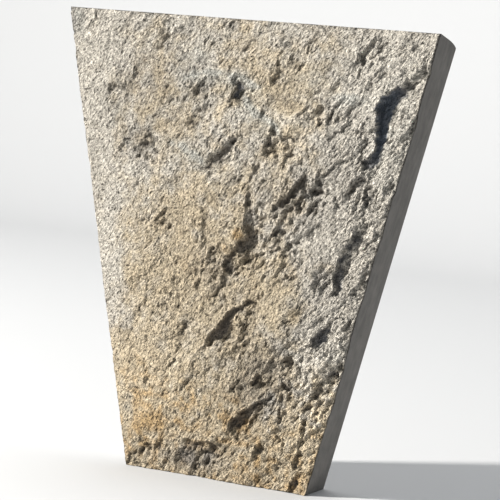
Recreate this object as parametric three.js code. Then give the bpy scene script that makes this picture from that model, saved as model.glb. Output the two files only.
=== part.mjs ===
// Rockface keystone: a single casting for the crown of an arch or a window head.
// The front is a split rock face, the sides and the underside are flat, the back is flat,
// and the top falls in a gentle curve towards the back.
//
// Millimetres, +Z up. The rock face looks along -Y, the stone stands on its foot at z = 0,
// and the origin is below the middle of its bounding box.

import * as THREE from 'three';

// Driving dimensions
const HEIGHT = 305;
const TOP_WIDTH = 264;
const FOOT_WIDTH = 132;
const EDGE_DEPTH = 38;
const TOP_FALL = 8;
const COLOUR = 0xb5aa97;

// How far each corner of the front arris stands out from the plane EDGE_DEPTH ahead of the back
const CORNER_PROUD = { topLeft: 3.0, topRight: -1.8, footLeft: -5.2, footRight: -7.5 };

// The swell of the rock face inside its four arrises
const CROWN = 10.4;
const CROWN_ACROSS = 2.6;
const CROWN_UP = 3.0;

// Facets of the front across and up, and of the top from front to back
const COLUMNS = 54;
const ROWS = 66;
const TOP_ROWS = 6;

// The rock's grain runs from upper right to lower left, and its lumps are longer along it
const GRAIN_ANGLE = THREE.MathUtils.degToRad(52);
const GRAIN_STRETCH = 1.6;

// Undulation of the split surface: wavelength and half height of each band
const BROAD_WAVE = { length: 62, height: 2.0, seed: 11 };
const GRAIN_WAVES = [
  { length: 30, height: 1.3, seed: 12 },
  { length: 15, height: 0.9, seed: 13 },
  { length: 9, height: 0.6, seed: 14 },
];

// Breaks wander from their straight course by this much
const WANDER = [
  { length: 12, reach: 1.7, seedX: 5, seedZ: 7 },
  { length: 5, reach: 1.0, seedX: 6, seedZ: 8 },
];

// Ledges in the broken face. Each is a course of points [x, z, drop] on the front, and the
// face drops on its right hand, seven tenths below the surface and three tenths above it.
// Away from the cliff the rock comes back to its level within REACH drops.
const CLIFF = 2.0;
const LOW_SHARE = 0.7;
const REACH = 2.0;
const LEAST_REACH = 2.0;
const LEDGES = [
  {
    name: 'upper right step',
    course: [
      [85, 214, 0], [89, 221, 4], [95, 226, 4], [97, 232, 4], [96, 241, 5], [97, 258, 8],
      [101, 263, 6], [108, 269, 4], [115, 275, 2.5], [127, 281, 0],
    ],
  },
  {
    name: 'right step',
    course: [
      [74, 131, 0], [77, 139, 4.5], [77, 150, 4], [80, 162, 3], [87, 174, 3.5], [96, 184, 0],
    ],
  },
  { name: 'right step, crumbs', course: [[91, 186, 0], [93, 197, 4.5], [92, 208, 0]] },
  { name: 'right step, crumbs left', course: [[83, 203, 0], [87, 211, 3], [93, 217, 0]] },
  {
    name: 'heart crack',
    course: [
      [6, 153, 0], [10, 157, 6], [15, 164, 5.5], [15, 171, 2.5], [14, 184, 2], [13, 200, 0],
    ],
  },
  { name: 'heart crack, foot', course: [[-1, 136, 0], [1, 143, 5], [3, 150, 4.5], [9, 157, 0]] },
  { name: 'heart crack, heel', course: [[-3, 127, 0], [0, 134, 3.5], [2, 139, 0]] },
  {
    name: 'middle break',
    course: [
      [-12, 86, 0], [-6, 95, 5.5], [0, 105, 6.5], [7, 115, 4.5], [18, 122, 3], [29, 128, 0],
    ],
  },
  {
    name: 'scallop, under lip',
    course: [
      [-27, 205, 0], [-18, 210, 3], [-12, 214, 5.5], [-5, 221, 5.5], [5, 232, 0],
    ],
  },
  { name: 'scallop, pit', course: [[-7, 248, 0], [-3, 255, 5], [-1, 263, 4], [5, 270, 0]] },
  { name: 'scallop, left flank', course: [[-39, 228, 0], [-31, 236, 4], [-23, 246, 4], [-17, 253, 0]] },
  { name: 'scallop, right horn', course: [[19, 218, 0], [23, 224, 4], [27, 234, 4], [27, 247, 0]] },
  { name: 'left hollow', course: [[-80, 205, 0], [-71, 215, 4], [-66, 223, 3.5], [-58, 231, 0]] },
  { name: 'cluster, main', course: [[36, 187, 0], [43, 196, 5.5], [49, 205, 5], [54, 214, 0]] },
  { name: 'cluster, second', course: [[29, 179, 0], [36, 189, 4.5], [41, 196, 0]] },
  { name: 'cluster, lower', course: [[30, 161, 0], [34, 170, 4], [41, 179, 0]] },
  {
    name: 'cluster, right',
    course: [
      [52, 192, 0], [59, 201, 3.5], [63, 208, 2], [73, 218, 1.6], [86, 231, 0],
    ],
  },
  { name: 'low pocket', course: [[61, 97, 0], [66, 104, 6], [70, 110, 5.5], [77, 117, 0]] },
  {
    name: 'low break',
    course: [
      [8, 32, 0], [11, 41, 6], [17, 48, 5], [27, 55, 4.5], [35, 60, 3], [47, 66, 0],
    ],
  },
  { name: 'low nick', course: [[22, 64, 0], [25, 71, 5], [31, 79, 0]] },
  { name: 'low nick, left', course: [[9, 59, 0], [13, 66, 4], [18, 73, 0]] },
  { name: 'low nick, right', course: [[39, 79, 0], [45, 87, 4.5], [52, 94, 0]] },
  { name: 'low slot', course: [[28, 17, 0], [30, 25, 5], [35, 33, 0]] },
  {
    name: 'side crack',
    course: [
      [54, -3, 0], [55, 6, 4], [57, 16, 2], [60, 33, 1], [62, 58, 1.5], [67, 69, 3.5],
      [76, 81, 4.5], [88, 95, 0],
    ],
  },
  { name: 'foot shelf', course: [[-28, 20, 0], [-17, 25, 4.5], [-3, 26, 3.5], [10, 24, 0]] },
  { name: 'foot pocket', course: [[-33, 4, 0], [-27, 14, 4], [-18, 21, 0]] },
  {
    name: 'foot corner chip',
    course: [
      [-68, -2, 0], [-62, 9, 2.5], [-52, 17, 2], [-38, 19, 1.5], [-28, 18, 0],
    ],
  },
];

// Chips off the right arris: height above the foot, half length, and drop
const ARRIS_CHIP_WIDTH = 4.5;
const ARRIS_CHIPS = [
  { middle: 284, halfLength: 11, drop: 3 },
  { middle: 205, halfLength: 8, drop: 3 },
  { middle: 175, halfLength: 6, drop: 2.5 },
  { middle: 147, halfLength: 10, drop: 3 },
  { middle: 114, halfLength: 5, drop: 2.5 },
  { middle: 86, halfLength: 9, drop: 3.5 },
  { middle: 56, halfLength: 6, drop: 2 },
];

// Bosses stand out and hollows sink in: place on the front, half widths, and height
const SWELLS = [
  { name: 'scallop boss', at: [-8, 238], size: [17, 14], height: 2.6 },
  { name: 'boss right of the scallop', at: [40, 238], size: [14, 13], height: 1.8 },
  { name: 'shoulder above the heart crack', at: [-7, 187], size: [22, 18], height: 1.8 },
  { name: 'boss right of the middle break', at: [38, 113], size: [18, 20], height: 2.6 },
  { name: 'foot boss', at: [57, 37], size: [18, 22], height: 1.6 },
  { name: 'left hollow', at: [-69, 221], size: [11, 9], height: -1.8 },
  { name: 'low hollow', at: [38, 73], size: [17, 20], height: -2.2 },
  { name: 'foot hollow', at: [-14, 14], size: [18, 10], height: -2.6 },
  { name: 'scallop pit', at: [0, 258], size: [5, 6], height: -2.6 },
];

// The left arris is crisp: the rock's undulation dies away towards it
const CRISP_MARGIN = 14;
const CRISP_SHARE = 0.25;

// One pseudo-random number from -1 to 1 for each corner of a square lattice
function lattice(ix, iz, seed) {
  let h = Math.imul(ix, 374761393) + Math.imul(iz, 668265263) + Math.imul(seed, 1442695041);
  h = Math.imul(h ^ (h >>> 13), 1274126177);
  h = (h ^ (h >>> 16)) >>> 0;
  return h / 2147483648 - 1;
}

// Smooth noise from -1 to 1 between those corners, one lattice step to a unit
function noise(x, z, seed) {
  const ix = Math.floor(x);
  const iz = Math.floor(z);
  const sx = THREE.MathUtils.smoothstep(x - ix, 0, 1);
  const sz = THREE.MathUtils.smoothstep(z - iz, 0, 1);
  const low = THREE.MathUtils.lerp(lattice(ix, iz, seed), lattice(ix + 1, iz, seed), sx);
  const high = THREE.MathUtils.lerp(lattice(ix, iz + 1, seed), lattice(ix + 1, iz + 1, seed), sx);
  return THREE.MathUtils.lerp(low, high, sz);
}

function halfWidth(z) {
  return THREE.MathUtils.lerp(FOOT_WIDTH, TOP_WIDTH, z / HEIGHT) / 2;
}

// The swelling cushion between the four arrises
function cushion(x, z) {
  const across = x / halfWidth(z);
  const up = z / HEIGHT;
  const left = THREE.MathUtils.lerp(CORNER_PROUD.footLeft, CORNER_PROUD.topLeft, up);
  const right = THREE.MathUtils.lerp(CORNER_PROUD.footRight, CORNER_PROUD.topRight, up);
  const edge = THREE.MathUtils.lerp(left, right, (across + 1) / 2);
  const crown = (1 - Math.abs(across) ** CROWN_ACROSS) * (1 - Math.abs(2 * up - 1) ** CROWN_UP);
  return edge + CROWN * crown;
}

function undulation(x, z) {
  const along = (x * Math.cos(GRAIN_ANGLE) + z * Math.sin(GRAIN_ANGLE)) / GRAIN_STRETCH;
  const across = z * Math.cos(GRAIN_ANGLE) - x * Math.sin(GRAIN_ANGLE);
  let height = BROAD_WAVE.height * noise(x / BROAD_WAVE.length, z / BROAD_WAVE.length, BROAD_WAVE.seed);
  for (const wave of GRAIN_WAVES) {
    height += wave.height * noise(along / wave.length, across / wave.length, wave.seed);
  }
  const fromLeft = x + halfWidth(z);
  const free = THREE.MathUtils.smoothstep(fromLeft, 0, CRISP_MARGIN);
  return height * THREE.MathUtils.lerp(CRISP_SHARE, 1, free);
}

// How far to the right of a ledge's course a place is, and the ledge's drop there
function ledgeCourse(x, z, course) {
  let nearest = Infinity;
  let across = 0;
  let drop = 0;
  for (let i = 0; i + 1 < course.length; i += 1) {
    const [x0, z0, drop0] = course[i];
    const [x1, z1, drop1] = course[i + 1];
    const runX = x1 - x0;
    const runZ = z1 - z0;
    const way = ((x - x0) * runX + (z - z0) * runZ) / (runX ** 2 + runZ ** 2);
    const share = THREE.MathUtils.clamp(way, 0, 1);
    const awayX = x - x0 - share * runX;
    const awayZ = z - z0 - share * runZ;
    const away = Math.hypot(awayX, awayZ);
    if (away < nearest) {
      nearest = away;
      across = Math.sign(awayX * runZ - awayZ * runX) * away;
      drop = THREE.MathUtils.lerp(drop0, drop1, share);
    }
  }
  return { across, drop };
}

function ledgeRelief(x, z, course) {
  const { across, drop } = ledgeCourse(x, z, course);
  const reach = Math.max(REACH * drop, LEAST_REACH);
  const low = -LOW_SHARE * Math.exp(-Math.max(across, 0) / reach);
  const high = (1 - LOW_SHARE) * Math.exp(Math.min(across, 0) / reach);
  const side = THREE.MathUtils.smoothstep(across, -CLIFF, CLIFF);
  return drop * THREE.MathUtils.lerp(high, low, side);
}

function swellRelief(x, z, { at, size, height }) {
  const away = Math.hypot((x - at[0]) / size[0], (z - at[1]) / size[1]);
  return height * Math.exp(-(away ** 3));
}

// The place a break is looked up at, so that its course wanders
function wandered(x, z) {
  let bentX = x;
  let bentZ = z;
  for (const { length, reach, seedX, seedZ } of WANDER) {
    bentX += reach * noise(x / length, z / length, seedX);
    bentZ += reach * noise(x / length, z / length, seedZ);
  }
  return [bentX, bentZ];
}

// The ledge that parts a chip off the right arris from the face
function arrisChipCourse({ middle, halfLength, drop }) {
  const falls = [[middle - halfLength, 0], [middle, drop], [middle + halfLength, 0]];
  return falls.map(([z, fall]) => [halfWidth(z) - ARRIS_CHIP_WIDTH, z, fall]);
}

// Breaks pass through the points they are given once those wander with the rest
const COURSES = [...LEDGES.map(({ course }) => course), ...ARRIS_CHIPS.map(arrisChipCourse)]
  .map((course) => course.map(([x, z, drop]) => [...wandered(x, z), drop]));
const BENT_SWELLS = SWELLS.map((swell) => ({ ...swell, at: wandered(...swell.at) }));

// How far the rock face stands out at a point (x, z) of the front
function proud(x, z) {
  const [bentX, bentZ] = wandered(x, z);
  let height = cushion(x, z) + undulation(x, z);
  for (const course of COURSES) height += ledgeRelief(bentX, bentZ, course);
  for (const swell of BENT_SWELLS) height += swellRelief(bentX, bentZ, swell);
  return height;
}

// How far the top has fallen at a fraction of the way from the front arris to the back
function topFall(fraction) {
  return TOP_FALL * (0.75 * fraction + 0.25 * fraction ** 6);
}

// The closed body, built from rows of points that run from left to right.
// y is 0 at the back for now.
function keystoneGeometry() {
  const points = [];
  const triangles = [];

  const addPoint = (x, y, z) => points.push(x, y, z) / 3 - 1;

  const addRow = (place) => Array.from({ length: COLUMNS + 1 }, (_, column) => {
    const across = (2 * column) / COLUMNS - 1;
    return addPoint(...place(across, column));
  });

  const stitch = (lower, upper) => {
    for (let i = 0; i + 1 < lower.length; i += 1) {
      triangles.push(lower[i], lower[i + 1], upper[i + 1]);
      triangles.push(lower[i], upper[i + 1], upper[i]);
    }
  };

  const fan = (hub, rim) => {
    for (let i = 0; i + 1 < rim.length; i += 1) triangles.push(hub, rim[i], rim[i + 1]);
  };

  // The rock face, foot to head
  const face = Array.from({ length: ROWS + 1 }, (_, row) => {
    const z = (HEIGHT * row) / ROWS;
    return addRow((across) => {
      const x = across * halfWidth(z);
      return [x, -EDGE_DEPTH - proud(x, z), z];
    });
  });
  for (let row = 0; row < ROWS; row += 1) stitch(face[row], face[row + 1]);

  // The top, front arris to back arris
  const top = [face[ROWS]];
  for (let row = 1; row <= TOP_ROWS; row += 1) {
    const fraction = 1 - (1 - row / TOP_ROWS) ** 1.5;
    const z = HEIGHT - topFall(fraction);
    top.push(addRow((across, column) => {
      const arrisY = points[3 * face[ROWS][column] + 1];
      return [across * halfWidth(z), arrisY * (1 - fraction), z];
    }));
  }
  for (let row = 0; row < TOP_ROWS; row += 1) stitch(top[row], top[row + 1]);

  // The underside
  const backFoot = addRow((across) => [across * halfWidth(0), 0, 0]);
  stitch(backFoot, face[0]);

  // The two sides, each a run of level strips with a fan under the curved top
  const side = (column) => {
    const front = face.map((row) => row[column]);
    const back = front.map((_, row) => {
      if (row === 0) return backFoot[column];
      if (row === ROWS) return top[TOP_ROWS][column];
      const z = ((HEIGHT - TOP_FALL) * row) / ROWS;
      return addPoint(Math.sign(column - COLUMNS / 2) * halfWidth(z), 0, z);
    });
    const rim = [front[ROWS - 1], ...top.map((row) => row[column])];
    return { front, back, rim };
  };
  const left = side(0);
  const right = side(COLUMNS);
  stitch(left.front.slice(0, ROWS), left.back.slice(0, ROWS));
  stitch(right.back.slice(0, ROWS), right.front.slice(0, ROWS));
  fan(left.back[ROWS - 1], left.rim);
  fan(right.back[ROWS - 1], right.rim.reverse());

  // The back, a fan about its middle
  const middle = addPoint(0, 0, HEIGHT / 2);
  fan(middle, [...backFoot].reverse());
  fan(middle, left.back);
  fan(middle, top[TOP_ROWS]);
  fan(middle, [...right.back].reverse());

  const geometry = new THREE.BufferGeometry();
  geometry.setAttribute('position', new THREE.Float32BufferAttribute(points, 3));
  geometry.setIndex(triangles);
  geometry.computeVertexNormals();
  return geometry;
}

// Set the stone over the origin, with as much of it before as behind
function centred(geometry) {
  geometry.computeBoundingBox();
  const { min, max } = geometry.boundingBox;
  return geometry.translate(0, -(min.y + max.y) / 2, 0);
}

const stone = new THREE.MeshStandardMaterial({
  color: COLOUR,
  roughness: 0.95,
  metalness: 0,
  flatShading: true,
});

const keystone = new THREE.Mesh(centred(keystoneGeometry()), stone);
keystone.name = 'keystone';

const part = new THREE.Group();
part.add(keystone);

export default part;
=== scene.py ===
import math

import bpy
import numpy as np
from mathutils import Matrix, Vector


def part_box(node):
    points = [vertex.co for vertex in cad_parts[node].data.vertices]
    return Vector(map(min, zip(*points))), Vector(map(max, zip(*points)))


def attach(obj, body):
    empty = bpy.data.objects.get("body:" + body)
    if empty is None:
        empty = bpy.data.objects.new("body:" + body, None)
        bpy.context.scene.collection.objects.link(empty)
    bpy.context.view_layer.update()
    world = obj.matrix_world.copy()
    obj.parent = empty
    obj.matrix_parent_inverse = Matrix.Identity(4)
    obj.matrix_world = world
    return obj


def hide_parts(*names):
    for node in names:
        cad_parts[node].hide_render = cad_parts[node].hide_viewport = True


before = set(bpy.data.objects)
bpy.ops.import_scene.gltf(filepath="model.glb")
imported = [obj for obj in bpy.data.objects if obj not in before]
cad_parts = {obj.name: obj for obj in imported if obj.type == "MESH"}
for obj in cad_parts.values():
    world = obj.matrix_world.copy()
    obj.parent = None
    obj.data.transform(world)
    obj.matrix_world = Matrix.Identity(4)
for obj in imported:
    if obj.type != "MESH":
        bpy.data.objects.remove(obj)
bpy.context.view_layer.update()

# Everything below is in millimetres in the part's frame, and MM turns it into metres
MM = 0.001

# The solid gives the outer sizes
LOW, HIGH = (np.array(corner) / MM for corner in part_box("keystone"))
HEIGHT = HIGH[2]
TOP_WIDTH = HIGH[0] - LOW[0]
FOOT_WIDTH = TOP_WIDTH / 2
BACK_Y = HIGH[1]
EDGE_DEPTH = 38

# The top falls towards the back: most of the fall is an even slope, the rest rounds the far end
TOP_FALL = 8
TOP_SLOPE_SHARE = 0.75
TOP_ROUNDING = 6

# How far each corner of the front arris stands out from the plane EDGE_DEPTH ahead of the back
FOOT_LEFT, FOOT_RIGHT = -5.2, -7.5
TOP_LEFT, TOP_RIGHT = 3.0, -1.8

# The swell of the rock face inside its four arrises, and how squarely it comes down to them
CROWN = 10.4
CROWN_ACROSS = 2.6
CROWN_UP = 3.0

# Mesh cells of the rock face, and of the smooth sides, top, underside and back
FACE_COLUMNS, FACE_ROWS = 280, 318
SHELL_COLUMNS, SHELL_ROWS = 60, 72

# The rock's grain runs from upper right to lower left, and its lumps are longer along it
GRAIN_ANGLE = math.radians(52)
GRAIN_STRETCH = 1.6

# Numbers that scramble the corners of a lattice, in words of 32 bits
WORD = 0xFFFFFFFF
HALF_WORD = 0x80000000
LATTICE_X, LATTICE_Z, LATTICE_SEED = 374761393, 668265263, 1442695041
LATTICE_MIX = 1274126177
LATTICE_SHIFTS = (13, 16)

# Brings gradient noise up to about -1 to 1
GRADIENT_GAIN = 1.5

# Undulation of the split surface as (wavelength, half height, seed)
BROAD_WAVE = (62, 2.0, 11)
GRAIN_WAVES = ((30, 1.3, 12), (15, 0.9, 13), (9, 0.6, 14))

# Slabs and chips of the split surface, as (width, height, seed, degrees of turn, stretch along
# that turn). Each is a flat facet that rises towards the lower right, where it breaks off.
# Broken rock lies CHIP_LOSS deeper.
SLABS = (17, 1.5, 100, 46, 1.7)
CHIPS = ((7.5, 1.15, 110, 60, 1.7), (4.2, 0.75, 120, 48, 1.5), (2.3, 0.5, 130, 66, 1.4))
CHIP_LOSS = 0.5

# A facet of unit size: how far its middle strays, how it leans, how far its tilt and its level
# differ from the next one's, and how wide the bevel between two is
CHIP_JITTER = 0.42
CHIP_LEAN = 1.0
CHIP_TILT = 0.55
CHIP_STEP = 0.4
CHIP_EDGE = 0.12

# Pits as (spacing, depth, seed, degrees of turn, stretch along that turn), with the values of
# their noise where a pit starts and where its floor is, and how much broken rock adds to it
PIT_WAVES = ((6.5, 0.6, 71, 62, 2.2), (3.4, 0.6, 72, 50, 1.9))
PIT_START, PIT_FLOOR = 0.5, 1.0
PIT_SPREAD = 0.55

# Lumps and sand as (wavelength, height, seed, degrees of turn, stretch along that turn). The
# lumps are folded noise, with sharp clefts between them, and FOLD_MEAN is about its mean.
LUMP_WAVES = ((5.2, 0.4, 22, 38, 1.8), (2.6, 0.5, 23, 61, 1.6))
SAND_WAVES = ((2.1, 0.5, 24, 50, 1.6), (1.2, 0.65, 25, 60, 1.7))
FOLD_MEAN = 0.3

# The places of chips, lumps and pits are bent as (wavelength, reach, seed for x, seed for z)
CHIP_WARP = (4.5, 1.2, 26, 27)

# The share of slabs, lumps and sand that there is everywhere, and what broken rock adds to it
SLAB_SHARES = (0.1, 1.1)
LUMP_SHARES = (0.3, 1)
SAND_SHARES = (0.6, 0.4)

# How broken up the rock is: the least, then steps as (gain, start, end) from the left arris at
# -1 to the right one at 1, then patches as (wavelength, share, seed), and the most
CLUMP_LEAST = 0.15
CLUMP_STEPS = ((0.13, -0.95, -0.6), (0.14, -0.7, 0.3), (-0.06, 0.2, 0.7))
CLUMP_WAVES = ((17, 1, 31), (7, 0.6, 32))
CLUMP_MOST = 1.2

# Breaks wander from their straight course as (wavelength, reach, seed for x, seed for z), and
# the mesh frays their edges as well
WANDER = ((12, 1.7, 5, 7), (5, 1.0, 6, 8))
FRAY = ((3.6, 0.9, 33, 34), (2.1, 0.8, 35, 37))

# Shallow breaks have ragged drops, as (wavelength, share of the drop, seed); this dies away
# from the first of these drops to the second
RAGGED_WAVE = (4.0, 1.2, 36)
RAGGED_DROPS = (3, 5)

# Breaks shatter the rock at their foot, fully from this drop on
SHATTER_GAIN = 0.4
SHATTER_DROP = 4

# Half the width of a cliff, and of one in the upper left of the face, where the rock is worn
# rounder between these places
CLIFF = 0.7
ROUND_CLIFF = 2.2
ROUND_ACROSS = (5, 35)
ROUND_UP = (190, 210)

# Painted shadow on the rock under a cliff: it shows between two drops, starts this many cliff half
# widths before the course, and ends between two shares of the drop beyond it
PAINTED_SHADOW_DROPS = (1.5, 8)
PAINTED_SHADOW_START = 1.2
PAINTED_SHADOW_ENDS = (0.7, 1)

# Ledges where the face drops on the right hand of a course of points (x, z, drop), read as in
# a front view. LOW_SHARE of a drop lies under the level of the rock, and the rest stands above
# it. The rock comes back to its level over about REACH drops, and no less than LEAST_REACH.
LOW_SHARE = 0.7
REACH = 2.0
LEAST_REACH = 2.0
LEDGES = {
    "upper right step": (
        (85, 214, 0), (89, 221, 5.2), (95, 226, 5.2), (97, 232, 5.2), (96, 241, 7), (97, 258, 9),
        (101, 263, 8), (108, 269, 5.6), (115, 275, 2.4), (122, 280, 0),
    ),
    "right step": (
        (74, 131, 0), (77, 139, 4.6), (77, 150, 4.4), (80, 162, 3.8), (87, 174, 4.8), (96, 184, 0),
    ),
    "right step, crumbs": ((91, 186, 0), (93, 197, 4.5), (92, 208, 0)),
    "right step, crumbs left": ((83, 203, 0), (87, 211, 3), (93, 217, 0)),
    "heart crack": (
        (6, 153, 0), (10, 157, 6), (15, 164, 5.5), (15, 171, 3.5), (14, 184, 3.2), (13, 200, 0),
    ),
    "heart crack, foot": ((-1, 136, 0), (1, 143, 5), (3, 150, 4.5), (9, 157, 0)),
    "heart crack, heel": ((-3, 127, 0), (0, 134, 3.5), (2, 139, 0)),
    "middle break": (
        (-9, 94, 0), (-6, 98, 6), (0, 105, 7.5), (7, 115, 5), (18, 122, 3.5), (29, 128, 0),
    ),
    "scallop, under lip": (
        (-27, 205, 0), (-18, 210, 3.6), (-12, 214, 5.4), (-5, 221, 5), (5, 232, 0),
    ),
    "scallop, pit": ((-7, 248, 0), (-3, 255, 5), (-1, 263, 4), (5, 270, 0)),
    "scallop, left flank": ((-35, 231, 0), (-30, 237, 4), (-24, 246, 3.4), (-20, 252, 0)),
    "scallop, right horn": ((19, 218, 0), (23, 224, 3.4), (27, 234, 3.4), (27, 247, 0)),
    "left hollow": ((-80, 205, 0), (-71, 215, 2.6), (-66, 223, 3.4), (-58, 231, 0)),
    "cluster, main": ((36, 187, 0), (43, 196, 5.5), (49, 205, 5), (54, 214, 0)),
    "cluster, second": ((29, 179, 0), (36, 189, 4.5), (41, 196, 0)),
    "cluster, lower": ((30, 161, 0), (34, 170, 4), (41, 179, 0)),
    "cluster, right": ((52, 192, 0), (59, 201, 3.5), (63, 208, 2), (73, 218, 1.6), (86, 231, 0)),
    "low pocket": ((61, 97, 0), (66, 104, 6), (70, 110, 5), (77, 117, 0)),
    "low break": (
        (8, 32, 0), (11, 41, 6.4), (17, 48, 5.6), (27, 55, 5), (35, 60, 3), (47, 66, 0),
    ),
    "low nick": ((24, 64, 0), (26, 71, 5), (29, 78, 0)),
    "low nick, left": ((11, 60, 0), (13, 66, 4.4), (16, 71, 0)),
    "low nick, right": ((43, 79, 0), (46, 87, 4.5), (49, 95, 0)),
    "low slot": ((28, 17, 0), (30, 25, 5), (35, 33, 0)),
    "side crack": (
        (54, -3, 0), (55, 6, 4), (57, 16, 2.6), (60, 33, 1.8), (62, 58, 2.2), (67, 69, 3.5),
        (76, 81, 3.5), (88, 95, 0),
    ),
    "foot shelf": ((-26, 22, 0), (-17, 25, 3.8), (-3, 26, 3.6), (13, 24, 0)),
    "foot pocket": ((-34, 2, 0), (-30, 9, 2.4), (-24, 15, 0)),
    "foot corner chip": ((-68, -2, 0), (-62, 9, 3), (-52, 17, 3), (-38, 19, 2.5), (-28, 18, 0)),
}

# Small nicks that only the mesh carries
NICKS = {
    "heart crack, tail": ((-9, 119, 0), (-5, 125, 3), (-1, 132, 0)),
    "heart crack, left": ((-17, 144, 0), (-10, 153, 3), (-4, 161, 0)),
    "scallop, left pit": ((-34, 250, 0), (-27, 259, 3.5), (-22, 265, 0)),
    "scallop, crown": (
        (-34, 259, 0), (-24, 265, 1.4), (-10, 268, 2), (4, 268, 2.4), (13, 264, 2), (20, 256, 0),
    ),
    "scallop, crown right": ((20, 257, 0), (23, 268, 2.4), (25, 281, 0)),
    "horn fissure": ((13, 199, 0), (17, 210, 2), (21, 219, 0)),
    "cluster, inner": ((53, 180, 0), (57, 189, 3.5), (61, 196, 0)),
    "upper left nick": ((-67, 282, 0), (-62, 291, 2.5), (-56, 301, 0)),
    "head streak, left": ((80, 271, 0), (82, 283, 2.2), (84, 296, 0)),
    "head streak, right": ((88, 285, 0), (92, 295, 2.2), (95, 304, 0)),
    "shoulder streak, left": ((54, 235, 0), (58, 247, 2.4), (60, 258, 0)),
    "shoulder streak, right": ((73, 233, 0), (77, 245, 2.6), (79, 257, 0)),
    "middle left nick": ((-57, 163, 0), (-50, 173, 2.6), (-42, 182, 0)),
    "middle left hairline": ((-37, 160, 0), (-26, 166, 2), (-12, 173, 0)),
    "belt nick": ((45, 40, 0), (46, 50, 2.6), (45, 64, 3), (45, 73, 3), (48, 82, 0)),
    "low slot, right": ((42, 31, 0), (45, 38, 3), (50, 43, 0)),
    "edge pocket": ((83, 108, 0), (86, 116, 2.5), (91, 122, 0)),
}

# Chips off the right arris, as (height above the foot, half length, drop)
ARRIS_CHIPS = (
    (284, 11, 3), (205, 8, 2.2), (175, 6, 2.5), (147, 10, 2.2),
    (114, 5, 2.5), (86, 9, 2.4), (56, 6, 2),
)
ARRIS_CHIP_WIDTH = 4.5

# Bosses and hollows as (place, half widths, height), and how square their shoulders are
SWELL_POWER = 3
SWELLS = {
    "scallop boss": ((-8, 238), (17, 14), 2.6),
    "boss right of the scallop": ((40, 238), (14, 13), 1.8),
    "shoulder above the heart crack": ((-7, 187), (22, 18), 1.8),
    "boss right of the middle break": ((38, 113), (18, 20), 2.6),
    "foot boss": ((57, 37), (18, 22), 1.6),
    "left hollow": ((-69, 219), (12, 10), -2.4),
    "low hollow": ((38, 73), (17, 20), -2.2),
    "foot hollow": ((-13, 12), (18, 11), -2.0),
    "scallop pit": ((0, 258), (5, 6), -2.6),
    "upper left trough": ((-84, 252), (8, 20), -1.4),
    "heart": ((19, 161), (7, 6), -1.8),
    "middle break, hollow": ((5, 99), (8, 8), -1.4),
}

# Where the split surface is rougher, as (place, radius, gain), and what a gain of 1 adds
ROUGH_GAIN = 0.4
ROUGH_SPOTS = (
    ((-66, 217), 11, 0.4),
    ((-61, 292), 13, 0.9),
    ((-86, 255), 13, 0.8),
    ((-34, 248), 15, 0.6),
    ((48, 197), 20, 1.2),
    ((87, 286), 11, 0.5),
    ((57, 250), 13, 0.6),
    ((-9, 139), 18, 0.9),
    ((34, 166), 16, 0.8),
    ((39, 76), 18, 0.9),
    ((-17, 14), 16, 0.8),
    ((-47, 10), 12, 0.9),
    ((93, 200), 16, 0.8),
    ((-128, 297), 8, 0.8),
    ((72, 141), 12, 0.5),
    ((86, 115), 12, 0.7),
    ((8, 240), 12, -0.7),
    ((-6, 190), 16, -0.6),
    ((46, 238), 14, -0.9),
    ((-8, 239), 13, -0.4),
    ((60, 47), 15, -0.5),
    ((-88, 150), 26, -0.5),
)

# The left arris is crisp: the rock's undulation dies away towards it
CRISP_MARGIN = 14
CRISP_SHARE = 0.25

# Rings of cells from the front arris to the back: the first is a narrow band along the arris,
# and the rest crowd towards the back, where the top falls fastest
RINGS = 9
RING_CROWDING = 1.5
ARRIS_BAND = 1.6

# The arrises are blunt, and nibbled further in some places
ARRIS_BLUNT = 0.35
ARRIS_NIBBLE = 0.8
NIBBLE_SIZE = 4
NIBBLE_SEEDS = (41, 42)
SHARP_ANGLE = math.radians(30)

# The two finishes, as material numbers
ROCK, CAST = 0, 1

# How warm the stone is: the least, then bands as (gain, start, end) of height, where start may
# be the higher one
WARM_LEAST = 0.12
WARM_BANDS = ((0.42, 115, 30), (0.1, 240, 60), (-0.1, 245, 290))

# Then areas as (gain, how their place across the face counts, start and end of that place,
# start and end of height): up the middle, up the right and up the left
WARM_AREAS = (
    (0.14, np.abs, (0.8, 0.4), (80, 120)),
    (-0.3, np.positive, (0.3, 0.8), (20, 60)),
    (-0.22, np.negative, (0.72, 0.9), (60, 120)),
)

# Then drifts as (wavelength, gain, seed), one of them only near the foot, and the unevenness of
# # the patina and the darker patches
WARM_WAVES = ((34, 0.14, 51), (11, 0.1, 52))
FOOT_WAVE = (4, 0.3, 55)
FOOT_WAVE_HEIGHTS = (95, 50)
GREY_WAVE = (5, 0.6, 53)
DARKENED_WAVE = (6, 0.5, 54)

# Ochre stains as (place, radius, gain)
WARM_SPOTS = (
    ((10, 167), 5, 0.8),
    ((2, 156), 5, 0.35),
    ((53, 117), 5, 0.5),
    ((73, 151), 6, 0.25),
    ((-48, 35), 14, 0.25),
    ((-60, 49), 9, 0.2),
    ((31, 12), 12, 0.25),
    ((58, 8), 10, 0.25),
    ((19, 39), 6, 0.3),
    ((-30, 130), 45, 0.18),
    ((-15, 188), 28, 0.14),
    ((-32, 62), 30, 0.2),
    ((-60, 30), 8, 0.25),
    ((12, 150), 20, 0.12),
    ((44, 128), 20, 0.16),
    ((38, 55), 12, -0.3),
    ((-70, 52), 14, -0.16),
    ((14, 22), 26, 0.12),
    ((60, 42), 16, 0.2),
    ((64, 145), 22, 0.12),
    ((68, 12), 12, 0.1),
)
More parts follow.
